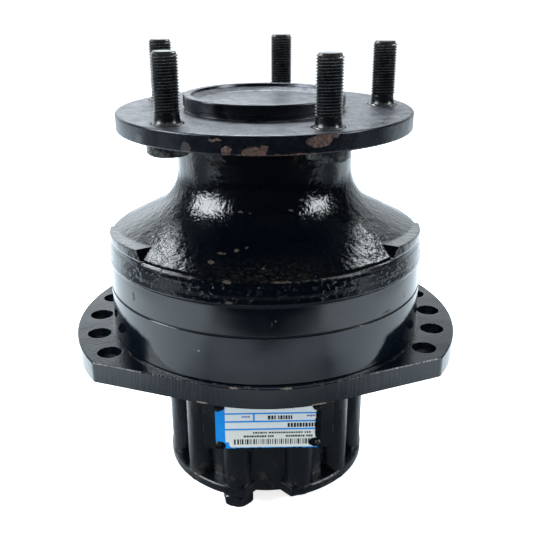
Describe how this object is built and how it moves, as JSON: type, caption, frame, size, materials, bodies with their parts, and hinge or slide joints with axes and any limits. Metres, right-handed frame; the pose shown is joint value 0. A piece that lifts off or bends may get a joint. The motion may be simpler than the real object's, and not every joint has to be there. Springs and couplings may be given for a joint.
{
  "type": "hydraulic wheel motor",
  "caption": "Radial piston hydraulic wheel motor with a studded wheel flange, a chassis plate with bolt holes and a ribbed port cover.",
  "frame": {"origin": "on the shaft axis, in the plane of the chassis plate's mounting face", "axes": "+Z along the shaft towards the wheel, +X towards one group of chassis holes, -Y towards the name plate"},
  "size_m": [0.2328, 0.1906, 0.268],
  "materials": {
    "cast_black_paint": "thick gloss black paint over rough casting",
    "machined_black_paint": "smooth gloss black paint over turned steel",
    "flange_black": "thin satin black paint with rust spots",
    "black_oxide": "black oxide on threads",
    "bright_steel": "machined",
    "ground_steel": "ground and hardened",
    "brass_cage": "pressed",
    "copper_washer": "annealed copper",
    "grey_iron": "machined iron",
    "nitrile": "moulded",
    "spring_steel": "drawn",
    "label_foil": "printed foil",
    "rivet_steel": "painted over"
  },
  "bodies": {
    "housing": {"mounting_plate": "machined_black_paint", "cam_ring": "machined_black_paint", "bearing_support": "cast_black_paint", "distribution_cover": "cast_black_paint", "name_plate": "label_foil", "name_plate_rivets": "rivet_steel", "cover_screws": "black_oxide", "joint_screws": "black_oxide", "dowel_pins": "bright_steel", "plug_screws": "machined_black_paint", "plug_washers": "copper_washer", "distribution_valve": "grey_iron", "valve_seals": "nitrile", "valve_springs": "spring_steel", "joint_seals": "nitrile", "cover_seal": "nitrile", "shaft_seal_case": "bright_steel", "shaft_seal_lip": "nitrile", "front_bearing_cup": "ground_steel", "rear_bearing_cup": "ground_steel"},
    "rotor": {"wheel_shaft": "flange_black", "wheel_studs": "black_oxide", "front_bearing_cone": "ground_steel", "rear_bearing_cone": "ground_steel", "bearing_nut": "bright_steel", "lock_washer": "bright_steel", "cylinder_block": "grey_iron", "retaining_ring": "spring_steel"},
    "front_cage": {"front_bearing_cage": "brass_cage", "front_bearing_rollers": "ground_steel"},
    "rear_cage": {"rear_bearing_cage": "brass_cage", "rear_bearing_rollers": "ground_steel"},
    "piston_body_1": {"piston_1": "bright_steel", "piston_ring_1": "nitrile"},
    "cam_roller_body_1": {"cam_roller_1": "ground_steel"},
    "piston_body_2": {"piston_2": "bright_steel", "piston_ring_2": "nitrile"},
    "cam_roller_body_2": {"cam_roller_2": "ground_steel"},
    "piston_body_3": {"piston_3": "bright_steel", "piston_ring_3": "nitrile"},
    "cam_roller_body_3": {"cam_roller_3": "ground_steel"},
    "piston_body_4": {"piston_4": "bright_steel", "piston_ring_4": "nitrile"},
    "cam_roller_body_4": {"cam_roller_4": "ground_steel"},
    "piston_body_5": {"piston_5": "bright_steel", "piston_ring_5": "nitrile"},
    "cam_roller_body_5": {"cam_roller_5": "ground_steel"},
    "piston_body_6": {"piston_6": "bright_steel", "piston_ring_6": "nitrile"},
    "cam_roller_body_6": {"cam_roller_6": "ground_steel"},
    "piston_body_7": {"piston_7": "bright_steel", "piston_ring_7": "nitrile"},
    "cam_roller_body_7": {"cam_roller_7": "ground_steel"},
    "piston_body_8": {"piston_8": "bright_steel", "piston_ring_8": "nitrile"},
    "cam_roller_body_8": {"cam_roller_8": "ground_steel"}
  },
  "joints": [
    {"name": "rotor_spin", "type": "hinge", "parent": "housing", "child": "rotor", "pos_m": [0, 0, 0], "axis": [0, 0, 1], "continuous": true},
    {"name": "front_cage_spin", "type": "hinge", "parent": "housing", "child": "front_cage", "pos_m": [0, 0, 0], "axis": [0, 0, 1], "continuous": true},
    {"name": "rear_cage_spin", "type": "hinge", "parent": "housing", "child": "rear_cage", "pos_m": [0, 0, 0], "axis": [0, 0, 1], "continuous": true},
    {"name": "piston_1_stroke", "type": "slide", "parent": "rotor", "child": "piston_body_1", "axis": [0.9914, 0.1305, 0], "range_m": [0, 0.00104]},
    {"name": "cam_roller_1_spin", "type": "hinge", "parent": "piston_body_1", "child": "cam_roller_body_1", "pos_m": [0.06762, 0.0089, 0.01465], "axis": [0, 0, 1], "continuous": true},
    {"name": "piston_2_stroke", "type": "slide", "parent": "rotor", "child": "piston_body_2", "axis": [0.6088, 0.7934, 0], "range_m": [0, 0.00104]},
    {"name": "cam_roller_2_spin", "type": "hinge", "parent": "piston_body_2", "child": "cam_roller_body_2", "pos_m": [0.04152, 0.05411, 0.01465], "axis": [0, 0, 1], "continuous": true},
    {"name": "piston_3_stroke", "type": "slide", "parent": "rotor", "child": "piston_body_3", "axis": [-0.1305, 0.9914, 0], "range_m": [0, 0.00562]},
    {"name": "cam_roller_3_spin", "type": "hinge", "parent": "piston_body_3", "child": "cam_roller_body_3", "pos_m": [-0.0089, 0.06762, 0.01465], "axis": [0, 0, 1], "continuous": true},
    {"name": "piston_4_stroke", "type": "slide", "parent": "rotor", "child": "piston_body_4", "axis": [-0.7934, 0.6088, 0], "range_m": [0, 0.00562]},
    {"name": "cam_roller_4_spin", "type": "hinge", "parent": "piston_body_4", "child": "cam_roller_body_4", "pos_m": [-0.05411, 0.04152, 0.01465], "axis": [0, 0, 1], "continuous": true},
    {"name": "piston_5_stroke", "type": "slide", "parent": "rotor", "child": "piston_body_5", "axis": [-0.9914, -0.1305, 0], "range_m": [0, 0.00104]},
    {"name": "cam_roller_5_spin", "type": "hinge", "parent": "piston_body_5", "child": "cam_roller_body_5", "pos_m": [-0.06762, -0.0089, 0.01465], "axis": [0, 0, 1], "continuous": true},
    {"name": "piston_6_stroke", "type": "slide", "parent": "rotor", "child": "piston_body_6", "axis": [-0.6088, -0.7934, 0], "range_m": [0, 0.00104]},
    {"name": "cam_roller_6_spin", "type": "hinge", "parent": "piston_body_6", "child": "cam_roller_body_6", "pos_m": [-0.04152, -0.05411, 0.01465], "axis": [0, 0, 1], "continuous": true},
    {"name": "piston_7_stroke", "type": "slide", "parent": "rotor", "child": "piston_body_7", "axis": [0.1305, -0.9914, 0], "range_m": [0, 0.00562]},
    {"name": "cam_roller_7_spin", "type": "hinge", "parent": "piston_body_7", "child": "cam_roller_body_7", "pos_m": [0.0089, -0.06762, 0.01465], "axis": [0, 0, 1], "continuous": true},
    {"name": "piston_8_stroke", "type": "slide", "parent": "rotor", "child": "piston_body_8", "axis": [0.7934, -0.6088, 0], "range_m": [0, 0.00562]},
    {"name": "cam_roller_8_spin", "type": "hinge", "parent": "piston_body_8", "child": "cam_roller_body_8", "pos_m": [0.05411, -0.04152, 0.01465], "axis": [0, 0, 1], "continuous": true}
  ],
  "couplings": [
    {"joint": "front_cage_spin", "follows": "rotor_spin", "ratio": 0.4421},
    {"joint": "rear_cage_spin", "follows": "rotor_spin", "ratio": 0.4421}
  ]
}
